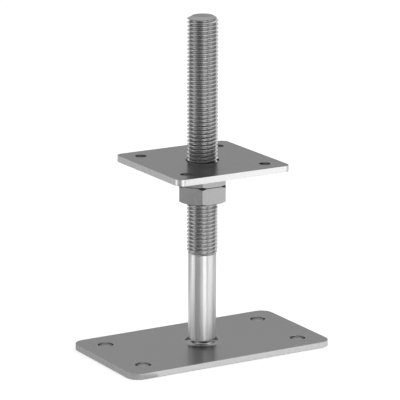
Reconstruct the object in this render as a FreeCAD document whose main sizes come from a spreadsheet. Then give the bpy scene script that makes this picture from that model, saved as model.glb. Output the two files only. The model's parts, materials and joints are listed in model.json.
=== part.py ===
import FreeCAD, Part
import math
import os
import Sketcher

# Adjustable post base, in millimetres.
# The underside of the base plate is the plane Z = 0. The rod stands on the
# middle of the plate, along +Z, and the plate's long side runs along X.

# Driving dimensions: alias, value, what the value measures.
SIZES = (
    ("base_length", 180.0, "base plate, long side"),
    ("base_width", 100.0, "base plate, short side"),
    ("base_corner", 10.0, "base plate, corner radius"),
    ("base_hole", 12.0, "anchor hole, diameter"),
    ("base_hole_edge", 20.0, "anchor hole centre to both edges"),
    ("top_side", 100.0, "top plate, side of the square"),
    ("top_corner", 6.0, "top plate, corner radius"),
    ("top_hole", 9.0, "screw hole, diameter"),
    ("top_hole_edge", 15.0, "screw hole centre to both edges"),
    ("rod_hole", 26.0, "clearance hole for the rod, diameter"),
    ("plate_thickness", 5.0, "both plates"),
    ("edge_break", 0.4, "broken edge round both plates"),
    ("thread_diameter", 24.0, "outside of the thread"),
    ("shank_diameter", 22.0, "plain shank below the thread"),
    ("rod_length", 260.0, "rod, end to end"),
    ("shank_length", 72.0, "plain shank, foot to thread"),
    ("end_face", 16.0, "flat left on the rod's top, diameter"),
    ("end_slope", 30.0, "slope of the chamfer round that flat, degrees"),
    ("weld_leg", 4.0, "fillet weld, along the plate"),
    ("weld_rise", 4.0, "fillet weld, up the shank"),
    ("weld_hollow", 5.0, "radius of the weld's hollow face"),
    ("nut_flats", 36.0, "hex nut, across flats"),
    ("nut_height", 13.5, "hex nut, face to face"),
    ("nut_chamfer_start", 37.0, "circle where the nut's chamfer starts, diameter"),
    ("nut_chamfer", 30.0, "slope of the nut's chamfer, degrees"),
    ("bore_clearance", 0.05, "nut bore over the thread, on the radius"),
    ("bore_countersink", 0.9, "45 degree countersink at both bore ends"),
    ("nut_stack_z", 119.5, "underside of the lower nut"),
)

PARTS_FOLDER = "parts"
FULL_TURN = 360
THROUGH_ALL = 1
SAME_PLACE = 1e-6

# How far a chamfer's cutter reaches past the place where the chamfer starts.
CUTTER_REACH = 5.0

# Numbers by which a sketch knows its X axis, which starts at the origin, and
# the points of a curve.
AXIS = -1
FIRST, LAST, CENTRE = 1, 2, 3

# Size that a sketch is drawn at before its dimensions take hold.
ROUGH_SIZE = 10.0


def make_sheet(document):
    """Put the driving dimensions in a spreadsheet, one alias a row."""
    sheet = document.addObject("Spreadsheet::Sheet", "sizes")
    for row, (alias, value, meaning) in enumerate(SIZES, start=1):
        sheet.set(f"A{row}", meaning)
        sheet.set(f"B{row}", str(value))
        sheet.setAlias(f"B{row}", alias)
    document.recompute()


def make_body(document, label, height=None):
    """Start a sub-part, lifted to a height given as an expression."""
    body = document.addObject("PartDesign::Body", label)
    body.Label = label
    if height:
        body.setExpression("Placement.Base.z", height)
    return body


def make_sketch(body, name, plane_role):
    """Attach a new sketch to one of the body's own origin planes."""
    sketch = body.newObject("Sketcher::SketchObject", name)
    planes = [item for item in body.Origin.OriginFeatures if item.Role == plane_role]
    sketch.AttachmentSupport = (planes[0], [""])
    sketch.MapMode = "FlatFace"
    return sketch


def bind(sketch, name, expression, kind, *places):
    """Add a named dimension between places of a sketch and drive it from the sheet."""
    index = sketch.addConstraint(Sketcher.Constraint(kind, *places, ROUGH_SIZE))
    sketch.renameConstraint(index, name)
    sketch.setExpression(f"Constraints.{name}", expression)


def place_point(sketch, name, curve, point, across, up):
    """Drive a point of a curve to a place given by two expressions."""
    bind(sketch, f"{name}_x", across, "DistanceX", AXIS, FIRST, curve, point)
    bind(sketch, f"{name}_y", up, "DistanceY", AXIS, FIRST, curve, point)


def join_ends(sketch, count):
    """Join the end of each of a sketch's curves to the start of the next."""
    for curve in range(count):
        follower = (curve + 1) % count
        sketch.addConstraint(Sketcher.Constraint("Coincident", curve, LAST, follower, FIRST))


def draw_outline(sketch, count, first_turn=0.0):
    """Draw a rough closed outline of straight lines, its first corner at an angle in degrees."""
    turns = [math.radians(first_turn + FULL_TURN * index / count) for index in range(count)]
    points = [FreeCAD.Vector(math.cos(turn), math.sin(turn), 0) * ROUGH_SIZE for turn in turns]
    for start, end in zip(points, points[1:] + points[:1]):
        sketch.addGeometry(Part.LineSegment(start, end), False)
    join_ends(sketch, count)


def draw_polygon(sketch, corners):
    """Draw a closed outline whose corners are each given by two expressions."""
    draw_outline(sketch, len(corners))
    for line, (across, up) in enumerate(corners):
        place_point(sketch, f"corner_{line}", line, FIRST, across, up)


def draw_rectangle(sketch, length, width):
    """Draw a rectangle centred on the origin, driven by two expressions."""
    draw_outline(sketch, 4, first_turn=-135.0)
    near, right, far, left = range(4)
    for line in (near, far):
        sketch.addConstraint(Sketcher.Constraint("Horizontal", line))
    for line in (right, left):
        sketch.addConstraint(Sketcher.Constraint("Vertical", line))
    sketch.addConstraint(Sketcher.Constraint("Symmetric", near, FIRST, far, FIRST, AXIS, FIRST))
    bind(sketch, "side_x", length, "DistanceX", near, FIRST, near, LAST)
    bind(sketch, "side_y", width, "DistanceY", right, FIRST, right, LAST)


def draw_hole(sketch, name, across, up, diameter):
    """Draw one round hole at a place given by two expressions."""
    rough = Part.Circle(FreeCAD.Vector(0, 0, 0), FreeCAD.Vector(0, 0, 1), ROUGH_SIZE)
    circle = sketch.addGeometry(rough, False)
    place_point(sketch, name, circle, CENTRE, across, up)
    bind(sketch, f"{name}_across", diameter, "Diameter", circle)


def is_upright(edge):
    """Tell whether a straight edge runs along Z."""
    ends = [vertex.Point for vertex in edge.Vertexes]
    return len(ends) == 2 and math.dist(ends[0][:2], ends[1][:2]) < SAME_PLACE


def edges_of(feature, choose):
    """List the names of a feature's edges that a test picks."""
    edges = feature.Shape.Edges
    return [f"Edge{index}" for index, edge in enumerate(edges, start=1) if choose(edge)]


def make_plate(document, label, height, length, width, corner, holes):
    """Make a flat plate with round corners, broken edges and punched holes."""
    body = make_body(document, label, height)
    outline = make_sketch(body, f"{label}_outline", "XY_Plane")
    draw_rectangle(outline, length, width)
    slab = body.newObject("PartDesign::Pad", f"{label}_slab")
    slab.Profile = outline
    slab.setExpression("Length", "sizes.plate_thickness")
    document.recompute()

    corners = body.newObject("PartDesign::Fillet", f"{label}_corners")
    corners.Base = (slab, edges_of(slab, is_upright))
    corners.setExpression("Radius", corner)
    document.recompute()

    broken = body.newObject("PartDesign::Chamfer", f"{label}_broken_edges")
    broken.Base = (corners, edges_of(corners, lambda edge: not is_upright(edge)))
    broken.setExpression("Size", "sizes.edge_break")
    document.recompute()

    pattern = make_sketch(body, f"{label}_hole_pattern", "XY_Plane")
    for index, (across, up, diameter) in enumerate(holes):
        draw_hole(pattern, f"hole_{index}", across, up, diameter)
    punched = body.newObject("PartDesign::Pocket", f"{label}_holes")
    punched.Profile = pattern
    punched.Type = THROUGH_ALL
    punched.Reversed = True
    document.recompute()
    return body


def corner_holes(length, width, edge, diameter):
    """List four holes set in from the corners by the same distance on both edges."""
    across = f"{length} / 2 - {edge}"
    up = f"{width} / 2 - {edge}"
    return [
        (across, up, diameter),
        (f"-({across})", up, diameter),
        (f"-({across})", f"-({up})", diameter),
        (across, f"-({up})", diameter),
    ]


def turn(document, body, kind, name, section):
    """Add or cut away what a half section sweeps in a full turn round Z."""
    feature = body.newObject(kind, name)
    feature.Profile = section
    feature.ReferenceAxis = (section, ["V_Axis"])
    feature.Angle = FULL_TURN
    document.recompute()


def make_rod(document):
    """Make the rod: a plain shank, a run-out up to the thread and a chamfered top."""
    body = make_body(document, "threaded_rod", "sizes.plate_thickness")
    section = make_sketch(body, "rod_section", "XZ_Plane")
    shank = "sizes.shank_diameter / 2"
    thread = "sizes.thread_diameter / 2"
    face = "sizes.end_face / 2"
    run_out = f"sizes.shank_length + {thread} - {shank}"
    end_drop = f"({thread} - {face}) * tan(sizes.end_slope)"
    draw_polygon(section, [
        ("0", "0"),
        (shank, "0"),
        (shank, "sizes.shank_length"),
        (thread, run_out),
        (thread, f"sizes.rod_length - {end_drop}"),
        (face, "sizes.rod_length"),
        ("0", "sizes.rod_length"),
    ])
    turn(document, body, "PartDesign::Revolution", "rod_turned", section)
    return body


def make_weld(document):
    """Make the fillet weld: a ring in the corner of shank and plate, with a hollow face."""
    body = make_body(document, "base_weld", "sizes.plate_thickness")
    section = make_sketch(body, "weld_section", "XZ_Plane")
    corner = FreeCAD.Vector(ROUGH_SIZE, 0, 0)
    toe = corner + FreeCAD.Vector(ROUGH_SIZE, 0, 0)
    top = corner + FreeCAD.Vector(0, ROUGH_SIZE, 0)
    flat_face = (toe + top) / 2
    hollow = (corner + flat_face) / 2
    wall = section.addGeometry(Part.LineSegment(corner, top), False)
    face = section.addGeometry(Part.Arc(top, hollow, toe), False)
    sole = section.addGeometry(Part.LineSegment(toe, corner), False)
    join_ends(section, 3)
    section.addConstraint(Sketcher.Constraint("Vertical", wall))
    section.addConstraint(Sketcher.Constraint("Horizontal", sole))
    section.addConstraint(Sketcher.Constraint("PointOnObject", wall, FIRST, AXIS))
    bind(section, "root", "sizes.shank_diameter / 2", "DistanceX", AXIS, FIRST, wall, FIRST)
    bind(section, "rise", "sizes.weld_rise", "DistanceY", wall, FIRST, wall, LAST)
    bind(section, "leg", "sizes.weld_leg", "DistanceX", sole, LAST, sole, FIRST)
    bind(section, "hollow", "sizes.weld_hollow", "Radius", face)
    turn(document, body, "PartDesign::Revolution", "weld_bead", section)
    return body


def cut_round(document, body, name, corners):
    """Turn away a ring whose section is given corner by corner."""
    section = make_sketch(body, f"{name}_section", "XZ_Plane")
    draw_polygon(section, corners)
    turn(document, body, "PartDesign::Groove", name, section)


def make_nut(document, label, height):
    """Make a hex nut with two flats facing Y, chamfered corners and a countersunk bore."""
    body = make_body(document, label, height)
    outline = make_sketch(body, f"{label}_hexagon", "XY_Plane")
    flat = "sizes.nut_flats / 2"
    corner = f"{flat} / cos(30)"
    draw_polygon(outline, [
        (corner, "0"),
        (f"{corner} / 2", flat),
        (f"-{corner} / 2", flat),
        (f"-{corner}", "0"),
        (f"-{corner} / 2", f"-{flat}"),
        (f"{corner} / 2", f"-{flat}"),
    ])
    blank = body.newObject("PartDesign::Pad", f"{label}_blank")
    blank.Profile = outline
    blank.setExpression("Length", "sizes.nut_height")
    document.recompute()

    start = "sizes.nut_chamfer_start / 2"
    outside = f"{start} + {CUTTER_REACH}"
    drop = f"{CUTTER_REACH} * tan(sizes.nut_chamfer)"
    cut_round(document, body, f"{label}_lower_chamfer", [
        (start, "0"),
        (outside, "0"),
        (outside, drop),
    ])
    cut_round(document, body, f"{label}_upper_chamfer", [
        (start, "sizes.nut_height"),
        (outside, f"sizes.nut_height - {drop}"),
        (outside, "sizes.nut_height"),
    ])
    bore = "sizes.thread_diameter / 2 + sizes.bore_clearance"
    mouth = f"{bore} + sizes.bore_countersink"
    cut_round(document, body, f"{label}_bore", [
        ("0", "0"),
        (mouth, "0"),
        (bore, "sizes.bore_countersink"),
        (bore, "sizes.nut_height - sizes.bore_countersink"),
        (mouth, "sizes.nut_height"),
        ("0", "sizes.nut_height"),
    ])
    return body


def make_parts(document):
    """Make every sub-part, from the ground up."""
    base_holes = corner_holes(
        "sizes.base_length", "sizes.base_width", "sizes.base_hole_edge", "sizes.base_hole"
    )
    top_holes = corner_holes(
        "sizes.top_side", "sizes.top_side", "sizes.top_hole_edge", "sizes.top_hole"
    )
    top_holes.append(("0", "0", "sizes.rod_hole"))
    upper_nut_z = "sizes.nut_stack_z + sizes.nut_height"
    top_plate_z = f"{upper_nut_z} + sizes.nut_height"
    return [
        make_plate(document, "base_plate", None, "sizes.base_length", "sizes.base_width",
                   "sizes.base_corner", base_holes),
        make_rod(document),
        make_weld(document),
        make_nut(document, "lock_nut", "sizes.nut_stack_z"),
        make_nut(document, "adjusting_nut", upper_nut_z),
        make_plate(document, "top_plate", top_plate_z, "sizes.top_side", "sizes.top_side",
                   "sizes.top_corner", top_holes),
    ]


def check_document(document, parts):
    """Stop if any object failed or any sub-part has no sound solid."""
    failed = [item.Name for item in document.Objects if {"Invalid", "Error"} & set(item.State)]
    if failed:
        raise RuntimeError(f"objects failed to build: {failed}")
    for part in parts:
        shape = part.Shape
        if shape.isNull() or not shape.isValid() or len(shape.Solids) != 1:
            raise RuntimeError(f"{part.Label} is not one valid solid")


def main():
    """Build the document, check it and write one STEP file for each sub-part."""
    document = FreeCAD.newDocument("adjustable_post_base")
    make_sheet(document)
    parts = make_parts(document)
    document.recompute()
    check_document(document, parts)
    os.makedirs(PARTS_FOLDER, exist_ok=True)
    for part in parts:
        part.Shape.exportStep(os.path.join(PARTS_FOLDER, f"{part.Label}.step"))
        box = part.Shape.optimalBoundingBox()
        print(f"{part.Label}: {part.Shape.Volume:.1f} mm3, Z {box.ZMin:.2f} to {box.ZMax:.2f}")


main()
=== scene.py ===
"""Looks of an adjustable post base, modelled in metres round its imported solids."""

import json
import logging
import math
from dataclasses import dataclass
from enum import Enum
from typing import Iterable, Optional, Union

import bmesh
import bpy
from bmesh.types import BMEdge, BMesh, BMFace, BMVert
from mathutils import Matrix, Quaternion, Vector


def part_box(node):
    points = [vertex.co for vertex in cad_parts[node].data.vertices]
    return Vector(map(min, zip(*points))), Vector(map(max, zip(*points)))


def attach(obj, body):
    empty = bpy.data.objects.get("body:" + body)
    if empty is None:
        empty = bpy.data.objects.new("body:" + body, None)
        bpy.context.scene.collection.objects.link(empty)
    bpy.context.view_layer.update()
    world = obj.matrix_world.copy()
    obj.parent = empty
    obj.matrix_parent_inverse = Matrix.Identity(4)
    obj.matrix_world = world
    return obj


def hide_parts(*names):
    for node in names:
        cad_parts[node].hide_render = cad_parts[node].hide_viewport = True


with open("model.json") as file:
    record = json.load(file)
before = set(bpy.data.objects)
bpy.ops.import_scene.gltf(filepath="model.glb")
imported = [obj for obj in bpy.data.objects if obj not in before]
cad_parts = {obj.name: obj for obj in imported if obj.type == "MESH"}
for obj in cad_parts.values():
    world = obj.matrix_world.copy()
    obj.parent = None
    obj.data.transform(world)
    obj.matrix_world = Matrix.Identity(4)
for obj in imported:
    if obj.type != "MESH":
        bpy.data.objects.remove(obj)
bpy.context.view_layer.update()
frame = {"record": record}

LOG = logging.getLogger("post_base")
MM = 0.001
FULL_TURN = 2.0 * math.pi
ORIGIN = Vector((0.0, 0.0, 0.0))
SIDEWAYS = Vector((1.0, 0.0, 0.0))
UP = Vector((0.0, 0.0, 1.0))
WHITE = "#FFFFFF"

# Points nearer to each other than this are one point.
SAME_PLACE = 0.002 * MM

# A bevel with these has a round section and takes the finish of the faces beside it.
ROUND_PROFILE = 0.5
NEIGHBOUR_FINISH = -1

# Radii of a 24 mm thread with a 3 mm pitch, and of the bar that it is rolled on.
THREAD_CREST_MM = 12.0
THREAD_ROOT_MM = 10.16
SHANK_RADIUS_MM = 11.0

# Most of a grain's noise lies between these values.
GRAIN_LOW = 0.3
GRAIN_HIGH = 0.7

Colour = tuple[float, float, float, float]
Section = list[tuple[float, float]]


class Slot(Enum):
    """Material slots of the record."""

    PLATE = "plate_steel"
    ROD = "rod_steel"
    WELD = "weld_metal"
    NUT = "nut_steel"


class Body(Enum):
    """Bodies of the frame that pieces ride on."""

    BASE = "base"
    LIFT = "lift"
    UPPER_NUT = "upper_nut"
    LOWER_NUT = "lower_nut"


class PlateSurface(Enum):
    """Surfaces of a plate, as numbers of its materials."""

    FACE = 0
    EDGE = 1


class NutSurface(Enum):
    """Surfaces of a nut, as numbers of its materials."""

    PLAIN = 0
    CHAMFER = 1


class RodSurface(Enum):
    """Surfaces of the rod, as numbers of its materials."""

    SHANK = 0
    THREAD = 1
    CHAMFER = 2
    END = 3


def linear(colour: str) -> Colour:
    """Turn an sRGB hex colour into linear values.

    Args:
        colour: six hex digits after a hash sign.

    Returns:
        Red, green, blue and alpha, from 0 to 1.
    """
    channels = [int(colour[start:start + 2], 16) / 255.0 for start in (1, 3, 5)]
    values = [c / 12.92 if c <= 0.04045 else ((c + 0.055) / 1.055) ** 2.4 for c in channels]
    return (values[0], values[1], values[2], 1.0)


def shade(colour: str, share: float) -> Colour:
    """Scale a hex colour's linear brightness by a share."""
    red, green, blue, alpha = linear(colour)
    return (red * share, green * share, blue * share, alpha)


def add_node(
    tree: bpy.types.NodeTree,
    kind: str,
    settings: Optional[dict[str, object]] = None,
    links: Optional[dict[Union[str, int], bpy.types.NodeSocket]] = None,
) -> bpy.types.Node:
    """Add a node to a tree, set it up and link it.

    Args:
        tree: the tree that gets the node.
        kind: Blender's type name of the node.
        settings: values by the name of an input socket or of a property.
        links: output sockets by the name or number of the input socket that they feed.

    Returns:
        The new node.
    """
    node = tree.nodes.new(kind)
    for name, value in (settings or {}).items():
        if name in node.inputs:
            node.inputs[name].default_value = value
        else:
            setattr(node, name, value)
    for place, source in (links or {}).items():
        tree.links.new(source, node.inputs[place])
    return node


def empty_material(name: str) -> bpy.types.Material:
    """Make a material with no nodes yet.

    Args:
        name: the material's name.

    Returns:
        The new material.
    """
    material = bpy.data.materials.new(name)
    material.use_nodes = True
    material.node_tree.nodes.clear()
    return material


@dataclass(frozen=True)
class MetalFinish:
    """A finish of bare or coated steel, with a grain drawn out along its making.

    Attributes:
        name: the material's name.
        colour: sRGB hex of the metal's own tone.
        grazing: sRGB hex of the share that the surface gives back at a low angle.
        roughness: middle value of the surface's roughness.
        grain_mm: length of the grain along X, Y and Z.
        tone_spread: how far the grain moves the tone either way, as a share.
        gloss_spread: how far the grain moves the roughness either way.
        relief_mm: height of the grain.
        grain_detail: how many times finer marks are laid over the grain.
        grain_strength: strength of each finer layer as a share of the one before.
        anisotropy: how far the surface draws reflections out along Z, from 0 to 1.
    """

    name: str
    colour: str
    grazing: str
    roughness: float
    grain_mm: tuple[float, float, float]
    tone_spread: float
    gloss_spread: float
    relief_mm: float
    grain_detail: float = 5.0
    grain_strength: float = 0.6
    anisotropy: float = 0.0

    def tone(self, tree: bpy.types.NodeTree, grain: bpy.types.Node) -> bpy.types.NodeSocket:
        """Make the metal's tone.

        Args:
            tree: the material's tree.
            grain: the noise that the tone follows.

        Returns:
            The socket that holds the colour.
        """
        ramp = add_node(tree, "ShaderNodeValToRGB", links={"Fac": grain.outputs["Fac"]})
        dark, light = ramp.color_ramp.elements
        dark.position = GRAIN_LOW
        dark.color = shade(self.colour, 1.0 - self.tone_spread)
        light.position = GRAIN_HIGH
        light.color = shade(self.colour, 1.0 + self.tone_spread)
        return ramp.outputs["Color"]

    def material(self) -> bpy.types.Material:
        """Make the finish's material.

        Returns:
            The new material.
        """
        material = empty_material(self.name)
        tree = material.node_tree
        place = add_node(tree, "ShaderNodeTexCoord")
        drawn_out = add_node(
            tree,
            "ShaderNodeMapping",
            {"Scale": [1.0 / (size * MM) for size in self.grain_mm]},
            {"Vector": place.outputs["Object"]},
        )
        grain = add_node(
            tree,
            "ShaderNodeTexNoise",
            {"Scale": 1.0, "Detail": self.grain_detail, "Roughness": self.grain_strength},
            {"Vector": drawn_out.outputs["Vector"]},
        )
        gloss = add_node(
            tree,
            "ShaderNodeMapRange",
            {
                "From Min": GRAIN_LOW,
                "From Max": GRAIN_HIGH,
                "To Min": self.roughness - self.gloss_spread,
                "To Max": self.roughness + self.gloss_spread,
            },
            {"Value": grain.outputs["Fac"]},
        )
        relief = add_node(
            tree, "ShaderNodeBump", {"Distance": self.relief_mm * MM}, {"Height": grain.outputs["Fac"]}
        )
        links = {
            "Base Color": self.tone(tree, grain),
            "Roughness": gloss.outputs["Result"],
            "Normal": relief.outputs["Normal"],
        }
        if self.anisotropy:
            # Reflections are drawn out along the tangent. Only the height is kept, so it points up.
            upwards = add_node(
                tree,
                "ShaderNodeMapping",
                {"Scale": (0.0, 0.0, 1.0)},
                {"Vector": place.outputs["Object"]},
            )
            links["Tangent"] = upwards.outputs["Vector"]
        metal = add_node(
            tree,
            "ShaderNodeBsdfPrincipled",
            {"Metallic": 1.0, "Specular Tint": linear(self.grazing), "Anisotropic": self.anisotropy},
            links,
        )
        add_node(tree, "ShaderNodeOutputMaterial", links={"Surface": metal.outputs["BSDF"]})
        return material


@dataclass(frozen=True)
class ThreadFinish(MetalFinish):
    """A rolled thread's finish, with painted shade in its roots, which are darker than its crests.

    The grain shifts the line between the painted shade and the plain tone by the tone's spread.

    Attributes:
        root_share: brightness of the painted shade in the roots as a share of the crests'.
    """

    root_share: float = 1.0

    def tone(self, tree: bpy.types.NodeTree, grain: bpy.types.Node) -> bpy.types.NodeSocket:
        """Make a tone that rises from the painted shade in the roots to the plain tone at the crests.

        Args:
            tree: the material's tree.
            grain: the noise that breaks the tone up.

        Returns:
            The socket that holds the colour.
        """
        place = add_node(tree, "ShaderNodeTexCoord")
        across = add_node(
            tree, "ShaderNodeMapping", {"Scale": (1.0, 1.0, 0.0)}, {"Vector": place.outputs["Object"]}
        )
        radius = add_node(
            tree, "ShaderNodeVectorMath", {"operation": "LENGTH"}, {"Vector": across.outputs["Vector"]}
        )
        height = add_node(
            tree,
            "ShaderNodeMapRange",
            {"From Min": THREAD_ROOT_MM * MM, "From Max": THREAD_CREST_MM * MM},
            {"Value": radius.outputs["Value"]},
        )
        uneven = add_node(
            tree,
            "ShaderNodeMapRange",
            {
                "From Min": GRAIN_LOW,
                "From Max": GRAIN_HIGH,
                "To Min": -self.tone_spread,
                "To Max": self.tone_spread,
            },
            {"Value": grain.outputs["Fac"]},
        )
        # Painted shade: the roots are darkened, fading out towards the crests, with the grain shifting
        # the line.
        root_shade_depth = add_node(
            tree,
            "ShaderNodeMath",
            {"operation": "ADD"},
            {0: height.outputs["Result"], 1: uneven.outputs["Result"]},
        )
        ramp = add_node(tree, "ShaderNodeValToRGB", links={"Fac": root_shade_depth.outputs["Value"]})
        root, crest = ramp.color_ramp.elements
        root.color = shade(self.colour, self.root_share)
        crest.color = linear(self.colour)
        return ramp.outputs["Color"]


@dataclass(frozen=True)
class EvenGlow:
    """A surface that shows one tone, whatever light falls on it.

    Attributes:
        name: the material's name.
        tone: its sRGB hex colour.
        level: how many times brighter than its colour it is.
    """

    name: str
    tone: str
    level: float = 1.0

    def material(self) -> bpy.types.Material:
        """Make the surface's material.

        Returns:
            The new material.
        """
        material = empty_material(self.name)
        tree = material.node_tree
        glow = add_node(tree, "ShaderNodeEmission", {"Color": linear(self.tone), "Strength": self.level})
        add_node(tree, "ShaderNodeOutputMaterial", links={"Surface": glow.outputs["Emission"]})
        return material


@dataclass(frozen=True)
class FloorPaint:
    """Matt floor paint that keeps a soft shadow.

    Attributes:
        name: the material's name.
        tone: its sRGB hex colour.
        glow: share of the floor's brightness that shadows don't reach.
    """

    name: str
    tone: str
    glow: float

    def material(self) -> bpy.types.Material:
        """Make the paint's material.

        Returns:
            The new material.
        """
        material = empty_material(self.name)
        tree = material.node_tree
        matt = add_node(tree, "ShaderNodeBsdfDiffuse", {"Color": linear(self.tone)})
        glow = add_node(tree, "ShaderNodeEmission", {"Color": linear(WHITE), "Strength": self.glow})
        both = add_node(
            tree, "ShaderNodeAddShader", links={0: matt.outputs["BSDF"], 1: glow.outputs["Emission"]}
        )
        add_node(tree, "ShaderNodeOutputMaterial", links={"Surface": both.outputs["Shader"]})
        return material


# Hot rolled flat steel with a thin zinc coat: an even satin grey, with faint
# streaks along the rolling direction. Real streaks are finer than a millimetre,
# so these are drawn coarser to show.
ZINC_COATED_FLAT = MetalFinish(
    name="zinc_coated_flat_steel",
    colour="#9B9B9B",
    grazing="#BDBDBD",
    roughness=0.24,
    grain_mm=(14.0, 2.5, 2.5),
    tone_spread=0.03,
    gloss_spread=0.03,
    relief_mm=0.004,
)

# Sheared edge of the top plate: bare metal, made lighter than bare steel as a painted highlight, with
# fine upright striations from the blade, drawn coarser than real so that they show.
HIGHLIT_SHEARED_EDGE = MetalFinish(
    name="sheared_edge_painted_highlight",
    colour="#F0F0F0",
    grazing="#E8E8E8",
    roughness=0.3,
    grain_mm=(0.9, 0.9, 8.0),
    tone_spread=0.05,
    gloss_spread=0.05,
    relief_mm=0.01,
)

# Sheared edge of the base plate: the same striations, dulled by the coat, and without the top plate's
# painted highlight.
COATED_EDGE = MetalFinish(
    name="zinc_coated_steel_edge",
    colour="#C8C8C8",
    grazing="#D8D8D8",
    roughness=0.3,
    grain_mm=(0.9, 0.9, 8.0),
    tone_spread=0.05,
    gloss_spread=0.05,
    relief_mm=0.01,
)

# Bright drawn bar, straightened between rolls: light, with fine marks round it
# from the rolls, drawn coarser than real. The finest of them are the anisotropy,
# which draws each reflection out into a band along the shank.
BRIGHT_DRAWN_BAR = MetalFinish(
    name="bright_drawn_steel",
    colour="#F4F4F4",
    grazing="#F4F4F4",
    roughness=0.3,
    grain_mm=(40.0, 40.0, 0.2),
    tone_spread=0.02,
    gloss_spread=0.01,
    relief_mm=0.004,
    anisotropy=1.0,
)

# Rolled thread: its roots are painted darker than its crests as painted shade, so each turn reads as a
# light line beside a dark one.
ROOT_SHADED_THREAD = ThreadFinish(
    name="thread_steel_shaded_roots",
    colour="#D2D2D2",
    grazing="#E0E0E0",
    roughness=0.24,
    grain_mm=(2.0, 2.0, 2.0),
    tone_spread=0.15,
    gloss_spread=0.04,
    relief_mm=0.004,
    root_share=0.7,
)

# Turned chamfer round the rod's end: lighter than the saw cut, with fine marks
# round it.
TURNED_CHAMFER = MetalFinish(
    name="turned_steel_chamfer",
    colour="#A2A2A2",
    grazing="#D2D2D2",
    roughness=0.28,
    grain_mm=(20.0, 20.0, 0.5),
    tone_spread=0.05,
    gloss_spread=0.04,
    relief_mm=0.01,
)

# Sawn end of the rod: dull grey, with the saw's marks straight across it.
SAWN_END = MetalFinish(
    name="sawn_steel_end",
    colour="#888888",
    grazing="#D2D2D2",
    roughness=0.3,
    grain_mm=(0.6, 8.0, 8.0),
    tone_spread=0.05,
    gloss_spread=0.05,
    relief_mm=0.01,
)

# Forged and zinc coated nut: satin, a little lighter than the plates, with the
# soft mottling of a barrel plated surface.
ZINC_COATED_NUT = MetalFinish(
    name="zinc_coated_nut_steel",
    colour="#AEAEAE",
    grazing="#D8D8D8",
    roughness=0.24,
    grain_mm=(3.0, 3.0, 3.0),
    tone_spread=0.03,
    gloss_spread=0.04,
    relief_mm=0.006,
)

# Turned chamfers and broken edges of a nut under the same coat, painted darker than the flats as painted
# shade, so the groove between two nuts shows dark.
SHADED_NUT_CHAMFER = MetalFinish(
    name="nut_chamfer_painted_shade",
    colour="#8A8A8A",
    grazing="#C8C8C8",
    roughness=0.3,
    grain_mm=(9.0, 9.0, 0.4),
    tone_spread=0.04,
    gloss_spread=0.04,
    relief_mm=0.008,
)

# Fillet weld under the same zinc coat: smooth satin grey, with faint lumps.
ZINC_COATED_WELD = MetalFinish(
    name="zinc_coated_weld_metal",
    colour="#909090",
    grazing="#D2D2D2",
    roughness=0.2,
    grain_mm=(1.5, 1.5, 1.5),
    tone_spread=0.06,
    gloss_spread=0.02,
    relief_mm=0.006,
)


def whole(shape: BMesh) -> list[Union[BMVert, BMEdge, BMFace]]:
    """List all the points, edges and faces of a shape."""
    return [*shape.verts, *shape.edges, *shape.faces]


def only(kind: type, items: Iterable[object]) -> list:
    """Pick the items of one kind out of an operator's result."""
    return [item for item in items if isinstance(item, kind)]


def open_edges(shape: BMesh) -> list[BMEdge]:
    """List the edges that only one face uses."""
    return [edge for edge in shape.edges if edge.is_boundary]


def merge_and_turn_out(shape: BMesh) -> None:
    """Merge doubled points of a closed shape and turn its faces outwards."""
    bmesh.ops.remove_doubles(shape, verts=shape.verts[:], dist=SAME_PLACE)
    bmesh.ops.recalc_face_normals(shape, faces=shape.faces[:])


def draw_section(shape: BMesh, points: Section, closed: bool) -> list[Union[BMVert, BMEdge]]:
    """Draw a half section in the plane of X and Z.

    Args:
        shape: the mesh that gets the section.
        points: radius and height of each point.
        closed: whether the last point joins the first.

    Returns:
        The new points and edges.
    """
    verts = [shape.verts.new((radius, 0.0, height)) for radius, height in points]
    ends = verts[1:] + verts[:1] if closed else verts[1:]
    edges = [shape.edges.new(pair) for pair in zip(verts, ends)]
    return [*verts, *edges]


def turned_solid(points: Section, steps: int) -> BMesh:
    """Turn a closed half section round the rod's axis.

    Args:
        points: radius and height of each point of the section.
        steps: steps of the full turn.

    Returns:
        The new shape.
    """
    shape = bmesh.new()
    section = draw_section(shape, points, closed=True)
    bmesh.ops.spin(
        shape, geom=section, cent=ORIGIN, axis=UP, angle=FULL_TURN, steps=steps, use_merge=True
    )
    merge_and_turn_out(shape)
    return shape


def add_object(name: str, shape: BMesh, materials: Iterable[bpy.types.Material]) -> bpy.types.Object:
    """Turn a finished shape into an object of the scene.

    Args:
        name: the object's name.
        shape: its shape, which is freed.
        materials: its materials, in the order of the shape's material numbers.

    Returns:
        The new object.
    """
    mesh = bpy.data.meshes.new(name)
    shape.to_mesh(mesh)
    shape.free()
    for material in materials:
        mesh.materials.append(material)
    made = bpy.data.objects.new(name, mesh)
    bpy.context.scene.collection.objects.link(made)
    return made


@dataclass
class Piece:
    """A modelled piece that stands for one solid of the frame.

    Attributes:
        name: the piece's name.
        node: the solid that it stands for.
        body: the body that it rides on.
        slot: the record's material slot; not used.
    """

    name: str
    node: str
    body: Body
    slot: Slot

    def model(self) -> BMesh:
        """Model the piece's shape where its solid is."""
        raise NotImplementedError

    def finishes(self) -> list[MetalFinish]:
        """List the finishes in the order of the shape's material numbers."""
        raise NotImplementedError

    def sharp_angle(self) -> float:
        """Give the angle between faces, in degrees, past which an edge is crisp."""
        return 40.0

    def add(self) -> bpy.types.Object:
        """Make the piece's object, dress it and fit it to the frame.

        Returns:
            The new object.
        """
        piece = add_object(self.name, self.model(), [finish.material() for finish in self.finishes()])
        piece.data.shade_smooth()
        piece.data.set_sharp_from_angle(angle=math.radians(self.sharp_angle()))
        weighted = piece.modifiers.new("face weighted normals", "WEIGHTED_NORMAL")
        weighted.keep_sharp = True
        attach(piece, self.body.value)
        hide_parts(self.node)
        return piece


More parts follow.
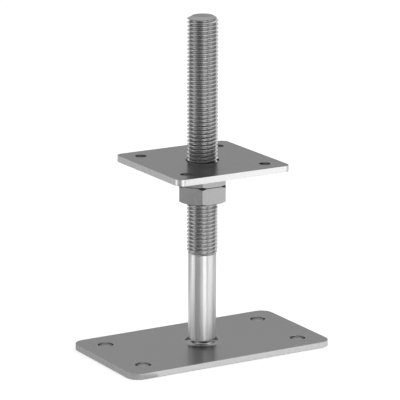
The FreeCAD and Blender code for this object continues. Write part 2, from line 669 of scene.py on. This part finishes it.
@dataclass
class DrilledPlate(Piece):
    """A flat plate with round corners and drilled holes.

    Attributes:
        mount: the record's bolt pattern that the corner holes belong to.
        corner_mm: radius of the plate's corners.
        edge_finish: finish of the cut edges.
        edge_mm: radius of the broken edges.
        middle_hole_mm: diameter of the hole in the middle, or nothing.
        corner_steps: steps round each corner.
        hole_steps: steps round each hole.
        edge_steps: steps across each broken edge.
        rim_angle: degrees between two faces past which the edge between them is broken.
        edge_rise: most that the normal of a cut edge rises or falls.
    """

    mount: str
    corner_mm: float
    edge_finish: MetalFinish
    edge_mm: float = 0.4
    middle_hole_mm: Optional[float] = None
    corner_steps: int = 12
    hole_steps: int = 48
    edge_steps: int = 3
    rim_angle: float = 60.0
    edge_rise: float = 0.7

    def holes(self) -> list[tuple[float, float, float]]:
        """List the holes.

        Returns:
            The place along X and Y and the radius of each hole.
        """
        dims = next(m["dims"] for m in frame["record"]["mounts"] if m["name"] == self.mount)
        radius = dims["hole_r_mm"] * MM
        half_x = dims["spacing_x_mm"] * MM / 2.0
        half_y = dims["spacing_y_mm"] * MM / 2.0
        found = [(x, y, radius) for x in (-half_x, half_x) for y in (-half_y, half_y)]
        if self.middle_hole_mm:
            found.append((0.0, 0.0, self.middle_hole_mm * MM / 2.0))
        return found

    def outline(self, low: Vector, high: Vector) -> BMesh:
        """Draw the plate's outline, with its corners round, and its holes.

        Args:
            low: lowest corner of the solid.
            high: highest corner of the solid.

        Returns:
            A new shape that holds the edges of the underside.
        """
        shape = bmesh.new()
        corners = [(low.x, low.y), (high.x, low.y), (high.x, high.y), (low.x, high.y)]
        outline = [shape.verts.new((x, y, low.z)) for x, y in corners]
        shape.faces.new(outline)
        bmesh.ops.bevel(
            shape,
            geom=outline,
            affect="VERTICES",
            offset=self.corner_mm * MM,
            segments=self.corner_steps,
            profile=ROUND_PROFILE,
            material=NEIGHBOUR_FINISH,
        )
        bmesh.ops.delete(shape, geom=shape.faces[:], context="FACES_ONLY")
        for x, y, radius in self.holes():
            bmesh.ops.create_circle(
                shape,
                cap_ends=False,
                radius=radius,
                segments=self.hole_steps,
                matrix=Matrix.Translation((x, y, low.z)),
            )
        return shape

    def surface(self, face: BMFace) -> PlateSurface:
        """Tell the cut edges of the plate from its rolled faces and its holes.

        Args:
            face: a face of the plate.

        Returns:
            The surface that the face belongs to.
        """
        place = face.calc_center_median().xy
        in_hole = any(
            (place - Vector((x, y))).length < radius + self.edge_mm * MM for x, y, radius in self.holes()
        )
        if in_hole or abs(face.normal.z) > self.edge_rise:
            return PlateSurface.FACE
        return PlateSurface.EDGE

    def model(self) -> BMesh:
        """Fill the outline round the holes, thicken it and break its edges.

        Returns:
            The new shape.
        """
        low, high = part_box(self.node)
        shape = self.outline(low, high)
        bmesh.ops.triangle_fill(shape, use_beauty=True, edges=shape.edges[:], normal=UP)
        raised = bmesh.ops.extrude_face_region(shape, geom=shape.faces[:])["geom"]
        bmesh.ops.translate(shape, verts=only(BMVert, raised), vec=UP * (high.z - low.z))
        bmesh.ops.recalc_face_normals(shape, faces=shape.faces[:])
        limit = math.radians(self.rim_angle)
        rims = [edge for edge in shape.edges if edge.calc_face_angle(0.0) > limit]
        bmesh.ops.bevel(
            shape,
            geom=rims,
            affect="EDGES",
            offset=self.edge_mm * MM,
            segments=self.edge_steps,
            profile=ROUND_PROFILE,
            material=NEIGHBOUR_FINISH,
            clamp_overlap=True,
        )
        for face in shape.faces:
            face.material_index = self.surface(face).value
        return shape

    def finishes(self) -> list[MetalFinish]:
        """Give the rolled faces one finish and the cut edges another."""
        by_surface = {PlateSurface.FACE: ZINC_COATED_FLAT, PlateSurface.EDGE: self.edge_finish}
        return [by_surface[surface] for surface in PlateSurface]


@dataclass
class ThreadedRod(Piece):
    """A rod with a plain shank and a rolled right-hand thread.

    Attributes:
        pitch_mm: height of one turn of the thread.
        crest_share: width of the flat crests as a share of the pitch.
        flank_angle: degrees between a flank and the plane across the rod.
        shank_top_mm: height above the ground where the thread starts.
        run_out_mm: height over which the thread comes to its full depth.
        end_face_mm: diameter of the flat left on top.
        end_slope: slope of the chamfer round it, in degrees.
        spare_turns: turns wound below the thread's start, to be cut off.
        steps_a_turn: steps round each turn.
        flank_steps: steps up each flank.
    """

    pitch_mm: float = 3.0
    crest_share: float = 0.125
    flank_angle: float = 30.0
    shank_top_mm: float = 77.0
    run_out_mm: float = 2.0
    end_face_mm: float = 16.0
    end_slope: float = 30.0
    spare_turns: int = 2
    steps_a_turn: int = 64
    flank_steps: int = 3

    def section(self, crest: float) -> Section:
        """Draw one turn of the thread's section, from root to root.

        Args:
            crest: radius at the crests.

        Returns:
            The radius and height of each point.
        """
        pitch = self.pitch_mm * MM
        root = THREAD_ROOT_MM * MM
        tip = (1.0 - self.crest_share) * pitch / 2.0
        foot = tip - (crest - root) * math.tan(math.radians(self.flank_angle))
        shares = [step / self.flank_steps for step in range(self.flank_steps + 1)]
        flank = [(root + (crest - root) * share, foot + (tip - foot) * share) for share in shares]
        back = [(radius, pitch - height) for radius, height in reversed(flank)]
        return [(root, 0.0), *flank, *back, (root, pitch)]

    def wound(self, crest: float, start: float, top: float) -> BMesh:
        """Wind the thread and cut it off square at both ends.

        Args:
            crest: radius at the crests.
            start: height of the thread's start.
            top: height of the rod's end.

        Returns:
            The new shape, open at both ends.
        """
        pitch = self.pitch_mm * MM
        doublings = math.ceil(math.log2((top - start) / pitch + self.spare_turns))
        shape = bmesh.new()
        section = draw_section(shape, self.section(crest), closed=False)
        bmesh.ops.translate(shape, verts=shape.verts[:], vec=UP * (start - self.spare_turns * pitch))
        bmesh.ops.spin(
            shape,
            geom=section,
            cent=ORIGIN,
            axis=UP,
            dvec=UP * (pitch / self.steps_a_turn),
            angle=FULL_TURN,
            steps=self.steps_a_turn,
            use_merge=False,
        )
        for doubling in range(doublings):
            copied = bmesh.ops.duplicate(shape, geom=whole(shape))["geom"]
            bmesh.ops.translate(shape, verts=only(BMVert, copied), vec=UP * (pitch * 2 ** doubling))
        bmesh.ops.remove_doubles(shape, verts=shape.verts[:], dist=SAME_PLACE)
        for height, side in ((start, -UP), (top, UP)):
            bmesh.ops.bisect_plane(
                shape, geom=whole(shape), plane_co=UP * height, plane_no=side, clear_outer=True
            )
        return shape

    def trimmed(self, radius: float, height: float, crest: float, top: float) -> float:
        """Fade the thread into the shank and cut the chamfer on the rod's end.

        Args:
            radius: radius of a point of the full thread.
            height: its height.
            crest: radius at the crests.
            top: height of the rod's end.

        Returns:
            The point's new radius.
        """
        shank = SHANK_RADIUS_MM * MM
        depth = min(1.0, max(0.0, (height - self.shank_top_mm * MM) / (self.run_out_mm * MM)))
        faded = shank + (radius - shank) * depth
        chamfer = self.end_face_mm * MM / 2.0 + (top - height) / math.tan(math.radians(self.end_slope))
        return min(faded, chamfer, crest)

    def surface(self, face: BMFace, crest: float, top: float) -> RodSurface:
        """Tell the rod's surfaces apart by their height.

        Args:
            face: a face of the rod.
            crest: radius at the crests.
            top: height of the rod's end.

        Returns:
            The surface that the face belongs to.
        """
        height = face.calc_center_median().z
        chamfer = (crest - self.end_face_mm * MM / 2.0) * math.tan(math.radians(self.end_slope))
        if height > top - SAME_PLACE:
            return RodSurface.END
        if height > top - chamfer:
            return RodSurface.CHAMFER
        if height > self.shank_top_mm * MM:
            return RodSurface.THREAD
        return RodSurface.SHANK

    def model(self) -> BMesh:
        """Wind the thread, trim its ends and draw the shank out below it.

        Returns:
            The new shape.
        """
        low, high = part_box(self.node)
        crest = (high.x - low.x) / 2.0
        start = self.shank_top_mm * MM
        shape = self.wound(crest, start, high.z)
        for vert in shape.verts:
            radius = vert.co.xy.length
            share = self.trimmed(radius, vert.co.z, crest, high.z) / radius
            vert.co.x *= share
            vert.co.y *= share
        middle = (start + high.z) / 2.0
        lower_rim = [edge for edge in open_edges(shape) if edge.verts[0].co.z < middle]
        shank = bmesh.ops.extrude_edge_only(shape, edges=lower_rim)["geom"]
        bmesh.ops.translate(shape, verts=only(BMVert, shank), vec=UP * (low.z - start))
        bmesh.ops.holes_fill(shape, edges=open_edges(shape), sides=0)
        merge_and_turn_out(shape)
        for face in shape.faces:
            face.material_index = self.surface(face, crest, high.z).value
        return shape

    def finishes(self) -> list[MetalFinish]:
        """Give each surface of the rod its own finish.

        Returns:
            The finishes, in the order of the surfaces.
        """
        by_surface = {
            RodSurface.SHANK: BRIGHT_DRAWN_BAR,
            RodSurface.THREAD: ROOT_SHADED_THREAD,
            RodSurface.CHAMFER: TURNED_CHAMFER,
            RodSurface.END: SAWN_END,
        }
        return [by_surface[surface] for surface in RodSurface]


@dataclass
class HexNut(Piece):
    """A hex nut: a turned blank with coned faces, cut by six flats.

    Attributes:
        face_mm: diameter of the round face inside the chamfer.
        chamfer: slope of the chamfer, in degrees.
        bore_mm: diameter of the bore.
        countersink_mm: depth of the countersink at both ends of the bore.
        break_mm: width of the broken edges at both ends of the flats.
        spare_mm: how far the blank stands out past the corners before the flats are cut.
        sides: number of flats.
        turn_steps: steps of the turned blank.
        level_rise: least that the normal of a slanting face rises or falls.
        square_rise: most that the normal of a slanting face rises or falls.
    """

    face_mm: float = 37.0
    chamfer: float = 30.0
    bore_mm: float = 24.1
    countersink_mm: float = 0.9
    break_mm: float = 0.3
    spare_mm: float = 0.5
    sides: int = 6
    turn_steps: int = 144
    level_rise: float = 0.1
    square_rise: float = 0.95

    def section(self, low: float, high: float, outside: float) -> Section:
        """Draw the blank's half section.

        Args:
            low: height of the lower face.
            high: height of the upper face.
            outside: radius of the blank.

        Returns:
            The radius and height of each corner.
        """
        bore = self.bore_mm * MM / 2.0
        sink = self.countersink_mm * MM
        face = self.face_mm * MM / 2.0
        drop = (outside - face) * math.tan(math.radians(self.chamfer))
        return [
            (bore, low + sink),
            (bore + sink, low),
            (face, low),
            (outside, low + drop),
            (outside, high - drop),
            (face, high),
            (bore + sink, high),
            (bore, high - sink),
        ]

    def cuts(self, low: Vector, high: Vector) -> list[tuple[Vector, Vector]]:
        """Place the planes that cut the flats and break their edges.

        Args:
            low: lowest corner of the solid.
            high: highest corner of the solid.

        Returns:
            A point of each plane, and the direction that it faces.
        """
        flat = (high.y - low.y) / 2.0
        inset = self.break_mm * MM / 2.0
        planes = []
        for side in range(self.sides):
            turn = Matrix.Rotation(FULL_TURN * (side + 0.5) / self.sides, 3, "Z")
            facing = turn @ SIDEWAYS
            planes.append((facing * flat, facing))
            planes.append((facing * (flat - inset) + UP * (high.z - inset), facing + UP))
            planes.append((facing * (flat - inset) + UP * (low.z + inset), facing - UP))
        return planes

    def model(self) -> BMesh:
        """Turn the blank, cut its flats and break their edges.

        Returns:
            The new shape.
        """
        low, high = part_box(self.node)
        corner = (high.y - low.y) / 2.0 / math.cos(math.pi / self.sides)
        outside = corner + self.spare_mm * MM
        shape = turned_solid(self.section(low.z, high.z, outside), self.turn_steps)
        for place, facing in self.cuts(low, high):
            cut = bmesh.ops.bisect_plane(
                shape, geom=whole(shape), plane_co=place, plane_no=facing, clear_outer=True
            )
            bmesh.ops.holes_fill(shape, edges=only(BMEdge, cut["geom_cut"]), sides=0)
        many_sided = [face for face in shape.faces if len(face.verts) > 4]
        bmesh.ops.triangulate(shape, faces=many_sided, quad_method="BEAUTY", ngon_method="BEAUTY")
        merge_and_turn_out(shape)
        for face in shape.faces:
            face.material_index = self.surface(face).value
        return shape

    def surface(self, face: BMFace) -> NutSurface:
        """Tell the slanting faces outside the countersinks from the rest.

        Args:
            face: a face of the nut.

        Returns:
            The surface that the face belongs to.
        """
        slanting = self.level_rise < abs(face.normal.z) < self.square_rise
        countersink = self.bore_mm * MM / 2.0 + self.countersink_mm * MM
        if slanting and face.calc_center_median().xy.length > countersink:
            return NutSurface.CHAMFER
        return NutSurface.PLAIN

    def sharp_angle(self) -> float:
        """Keep the flats' edges crisp."""
        return 20.0

    def finishes(self) -> list[MetalFinish]:
        """Give the chamfers one finish and the rest of the nut another."""
        # The chamfers' finish is darker than the flats as painted shade.
        by_surface = {NutSurface.PLAIN: ZINC_COATED_NUT, NutSurface.CHAMFER: SHADED_NUT_CHAMFER}
        return [by_surface[surface] for surface in NutSurface]


@dataclass
class FilletWeld(Piece):
    """A ring of weld metal in the corner of the shank and the base plate.

    Attributes:
        hollow_mm: radius of its hollow face.
        ripple_mm: spacing of the ripples along it.
        ripple_depth: depth of the ripples as a share of the weld's height.
        ripple_bow: how far a ripple bows along the weld, as a share of the spacing.
        face_steps: steps across the hollow face.
        steps_a_ripple: steps along each ripple.
    """

    hollow_mm: float = 5.0
    ripple_mm: float = 2.2
    ripple_depth: float = 0.04
    ripple_bow: float = 0.5
    face_steps: int = 10
    steps_a_ripple: int = 8

    def section(self, low: Vector, high: Vector) -> Section:
        """Draw the ring's half section, with its face as a hollow arc.

        Args:
            low: lowest corner of the solid.
            high: highest corner of the solid.

        Returns:
            The radius and height of each point.
        """
        shank = SHANK_RADIUS_MM * MM
        hollow = self.hollow_mm * MM
        toe = Vector((high.x, low.z))
        tip = Vector((shank, high.z))
        chord = tip - toe
        outward = Vector((chord.y, -chord.x)).normalized()
        depth = math.sqrt(hollow ** 2 - (chord.length / 2.0) ** 2)
        centre = (toe + tip) / 2.0 + outward * depth
        first = math.atan2(toe.y - centre.y, toe.x - centre.x)
        swept = -2.0 * math.asin(chord.length / 2.0 / hollow)
        angles = [first + swept * step / self.face_steps for step in range(self.face_steps + 1)]
        face = [(centre.x + hollow * math.cos(a), centre.y + hollow * math.sin(a)) for a in angles]
        return [(shank, low.z), *face]

    def model(self) -> BMesh:
        """Turn the ring and raise ripples on its face.

        Returns:
            The new shape.
        """
        low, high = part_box(self.node)
        shank = SHANK_RADIUS_MM * MM
        leg = high.x - shank
        middle_radius = shank + leg / 2.0
        ripples = round(FULL_TURN * middle_radius / (self.ripple_mm * MM))
        shape = turned_solid(self.section(low, high), ripples * self.steps_a_ripple)
        for vert in shape.verts:
            across = (vert.co.xy.length - shank) / leg
            fullness = max(0.0, math.sin(math.pi * across))
            along = math.atan2(vert.co.y, vert.co.x) * ripples / FULL_TURN - self.ripple_bow * fullness
            sink = self.ripple_depth * fullness * (along % 1.0)
            vert.co.z -= (vert.co.z - low.z) * sink
        return shape

    def sharp_angle(self) -> float:
        """Keep only the ring's foot crisp."""
        return 60.0

    def finishes(self) -> list[MetalFinish]:
        """Give the whole ring one finish."""
        return [ZINC_COATED_WELD]


def direction(azimuth: float, elevation: float) -> Vector:
    """Give the unit vector from the object towards a place in the studio.

    Args:
        azimuth: degrees round from the front, which is -Y, towards +X.
        elevation: degrees above the floor.

    Returns:
        The direction.
    """
    turn = math.radians(azimuth)
    rise = math.radians(elevation)
    level = math.cos(rise)
    return Vector((math.sin(turn) * level, -math.cos(turn) * level, math.sin(rise)))


@dataclass(frozen=True)
class Softbox:
    """A square soft lamp aimed at the object.

    Attributes:
        name: the lamp's name.
        azimuth: degrees round from the front.
        elevation: degrees above the floor.
        level: brightness that it gives a white surface facing it.
        distance: metres from the point that it faces.
        side: metres along each side.
    """

    name: str
    azimuth: float
    elevation: float
    level: float
    distance: float = 1.8
    side: float = 1.2

    def add(self, aim: Vector) -> None:
        """Set the lamp up.

        Args:
            aim: the point that it faces.
        """
        lamp = bpy.data.lights.new(self.name, "AREA")
        lamp.shape = "SQUARE"
        lamp.size = self.side
        # A small lamp of P watts, d metres away, gives white a brightness of P / (pi * d) ** 2.
        lamp.energy = self.level * (math.pi * self.distance) ** 2
        towards = direction(self.azimuth, self.elevation)
        holder = bpy.data.objects.new(self.name, lamp)
        holder.location = aim + towards * self.distance
        holder.rotation_euler = towards.to_track_quat("Z", "Y").to_euler()
        bpy.context.scene.collection.objects.link(holder)


@dataclass(frozen=True)
class Card:
    """A curved card set up round the object, which only polished metal shows.

    Attributes:
        name: the card's name.
        start: azimuth of its one side, in degrees.
        end: azimuth of its other side, in degrees.
        tone: its sRGB hex colour.
        near: metres from the rod's axis to its near edge.
        far: metres from the rod's axis to its far edge.
        rise: height of its far edge above its near edge, in metres.
        lift: height of its near edge above the ground, in metres.
        level: how many times brighter than its colour it is.
    """

    name: str
    start: float
    end: float
    tone: str
    near: float = 0.125
    far: float = 3.0
    rise: float = 0.0
    lift: float = 0.3 * MM
    level: float = 1.0

    def add(self) -> None:
        """Set the card up, in steps of a degree."""
        shape = bmesh.new()
        side = direction(self.start, 0.0)
        near = shape.verts.new(side * self.near + UP * self.lift)
        far = shape.verts.new(side * self.far + UP * (self.lift + self.rise))
        edge = shape.edges.new((near, far))
        bmesh.ops.spin(
            shape,
            geom=[near, far, edge],
            cent=ORIGIN,
            axis=UP,
            angle=math.radians(self.end - self.start),
            steps=round(self.end - self.start),
            use_merge=False,
        )
        bmesh.ops.recalc_face_normals(shape, faces=shape.faces[:])
        glow = EvenGlow(self.name, self.tone, self.level)
        card = add_object(self.name, shape, [glow.material()])
        card.visible_camera = False
        card.visible_diffuse = False
        card.visible_shadow = False


@dataclass(frozen=True)
class Wall(Card):
    """A card that stands upright some way off."""

    near: float = 3.0
    rise: float = 0.55
    lift: float = 0.02


@dataclass(frozen=True)
class Studio:
    """The floor, light and camera round the object.

    Attributes:
        softboxes: the lamps.
        cards: the cards round the object.
        floor_paint: finish of the floor.
        floor_radius: metres from the middle of the floor to its edge.
        floor_steps: steps round the floor's edge.
        floor_gap: metres that the floor lies under the base plate, so that their faces don't mix.
        sky_level: brightness that the surroundings give matt surfaces.
        camera_azimuth: degrees round from the front.
        camera_elevation: degrees above the floor.
        camera_distance: metres from the point that it faces.
        camera_aim_right: metres that this point lies to the right of the rod's axis.
        camera_aim_height: metres that this point lies above the ground.
        camera_roll: degrees that the camera leans over to its left.
        camera_lens: focal length in millimetres.
    """

    softboxes: tuple[Softbox, ...]
    cards: tuple[Card, ...]
    floor_paint: FloorPaint
    floor_radius: float = 6.0
    floor_steps: int = 96
    floor_gap: float = 0.1 * MM
    sky_level: float = 0.6
    camera_azimuth: float = -30.55
    camera_elevation: float = 14.22
    camera_distance: float = 2.148
    camera_aim_right: float = -1.8 * MM
    camera_aim_height: float = 119.4 * MM
    camera_roll: float = 0.13
    camera_lens: float = 248.8

    def aim(self) -> Vector:
        """Find the point that the camera and lamps face.

        Returns:
            The point.
        """
        turn = math.radians(self.camera_azimuth)
        right = Vector((math.cos(turn), math.sin(turn), 0.0))
        return right * self.camera_aim_right + UP * self.camera_aim_height

    def add_world(self) -> None:
        """Surround the object with white for the eye and soft light for the rest."""
        world = bpy.data.worlds.new("white studio")
        world.use_nodes = True
        bpy.context.scene.world = world
        tree = world.node_tree
        tree.nodes.clear()
        path = add_node(tree, "ShaderNodeLightPath")
        seen = path.outputs["Is Camera Ray"]
        for ray in ("Is Glossy Ray", "Is Transmission Ray"):
            either = add_node(
                tree, "ShaderNodeMath", {"operation": "MAXIMUM"}, {0: seen, 1: path.outputs[ray]}
            )
            seen = either.outputs["Value"]
        light = add_node(
            tree, "ShaderNodeBackground", {"Color": linear(WHITE), "Strength": self.sky_level}
        )
        white = add_node(tree, "ShaderNodeBackground", {"Color": linear(WHITE), "Strength": 1.0})
        both = add_node(
            tree,
            "ShaderNodeMixShader",
            links={"Fac": seen, 1: light.outputs["Background"], 2: white.outputs["Background"]},
        )
        add_node(tree, "ShaderNodeOutputWorld", links={"Surface": both.outputs["Shader"]})

    def add_floor(self) -> None:
        """Lay a plain pale floor that keeps the object's shadow."""
        shape = bmesh.new()
        bmesh.ops.create_circle(
            shape,
            cap_ends=True,
            radius=self.floor_radius,
            segments=self.floor_steps,
            matrix=Matrix.Translation(UP * -self.floor_gap),
        )
        add_object("floor", shape, [self.floor_paint.material()])

    def add_camera(self) -> None:
        """Set the camera up at the photograph's angle."""
        lens = bpy.data.cameras.new("camera")
        lens.lens = self.camera_lens
        back = direction(self.camera_azimuth, self.camera_elevation)
        lean = Quaternion(UP, math.radians(self.camera_roll))
        camera = bpy.data.objects.new("camera", lens)
        camera.location = self.aim() + back * self.camera_distance
        camera.rotation_euler = (back.to_track_quat("Z", "Y") @ lean).to_euler()
        bpy.context.scene.collection.objects.link(camera)
        bpy.context.scene.camera = camera

    def add(self) -> None:
        """Set up everything round the object."""
        bpy.context.scene.view_settings.view_transform = "Standard"
        self.add_world()
        self.add_floor()
        for softbox in self.softboxes:
            softbox.add(self.aim())
        for card in self.cards:
            card.add()
        self.add_camera()


def pieces() -> list[Piece]:
    """List the object's pieces, from the ground up.

    Returns:
        The pieces, not yet added.
    """
    return [
        DrilledPlate(
            name="drilled_base_plate",
            node="base_plate",
            body=Body.BASE,
            slot=Slot.PLATE,
            mount="anchor_holes",
            corner_mm=10.0,
            edge_finish=COATED_EDGE,
        ),
        ThreadedRod(name="rolled_thread_rod", node="threaded_rod", body=Body.BASE, slot=Slot.ROD),
        FilletWeld(name="fillet_weld_ring", node="base_weld", body=Body.BASE, slot=Slot.WELD),
        HexNut(name="hex_lock_nut", node="lock_nut", body=Body.LOWER_NUT, slot=Slot.NUT),
        HexNut(name="hex_adjusting_nut", node="adjusting_nut", body=Body.UPPER_NUT, slot=Slot.NUT),
        DrilledPlate(
            name="drilled_top_plate",
            node="top_plate",
            body=Body.LIFT,
            slot=Slot.PLATE,
            mount="post_screw_holes",
            corner_mm=6.0,
            # The top plate's edges carry a painted highlight.
            edge_finish=HIGHLIT_SHEARED_EDGE,
            middle_hole_mm=26.0,
        ),
    ]


def studio() -> Studio:
    """Choose the studio's lamps, cards and floor.

    The edge card greys the base plate's edges. The cards after it lie on the
    floor and band the shank from its left side to its right. The walls and the
    front strip carry its bands down to its foot, where the base plate hides the
    floor. The high flag keeps the undersides of the thread dark where the plates
    mirror them.

    Returns:
        The studio, not yet set up.
    """
    return Studio(
        softboxes=(
            Softbox("key_softbox", azimuth=50.0, elevation=50.0, level=0.15),
            Softbox("fill_softbox", azimuth=-75.0, elevation=45.0, level=0.08),
        ),
        cards=(
            Card("edge_card", start=-125.0, end=-50.0, tone="#C4C4C4", near=0.085, far=0.125),
            Card("back_left_card", start=-180.0, end=-124.0, tone="#B4B4B4"),
            Card("far_left_card", start=-97.0, end=-72.0, tone="#BEBEBE", near=0.4),
            Card("dark_left_card", start=-91.0, end=-72.0, tone="#7C7C7C", far=0.4),
            Card("left_card", start=-72.0, end=-42.0, tone="#989898"),
            Card("front_left_card", start=-42.0, end=-28.0, tone="#B0B0B0"),
            Card("front_card", start=5.0, end=21.0, tone="#C2C2C2"),
            Card("right_card", start=62.0, end=170.0, tone="#D4D4D4"),
            Wall("back_left_wall", start=-200.0, end=-136.0, tone="#505050"),
            Wall("left_wall", start=-88.0, end=-44.0, tone="#101010"),
            Wall("front_strip", start=-21.0, end=0.0, tone=WHITE, level=2.8),
            Wall("front_right_wall", start=24.0, end=66.0, tone="#909090"),
            Wall("right_wall", start=66.0, end=130.0, tone="#202020"),
            Wall("high_flag", start=-130.0, end=90.0, tone="#383838", lift=1.4, rise=3.8),
        ),
        floor_paint=FloorPaint("matt_floor_paint", tone="#F4F4F4", glow=0.45),
    )


def main() -> None:
    """Build the pieces and the studio, and report each piece."""
    logging.basicConfig(level=logging.INFO, format="%(name)s: %(message)s")
    for piece in pieces():
        made = piece.add()
        LOG.info("%s on %s: %d faces", made.name, piece.body.value, len(made.data.polygons))
    studio().add()


if __name__ == "__main__":
    main()
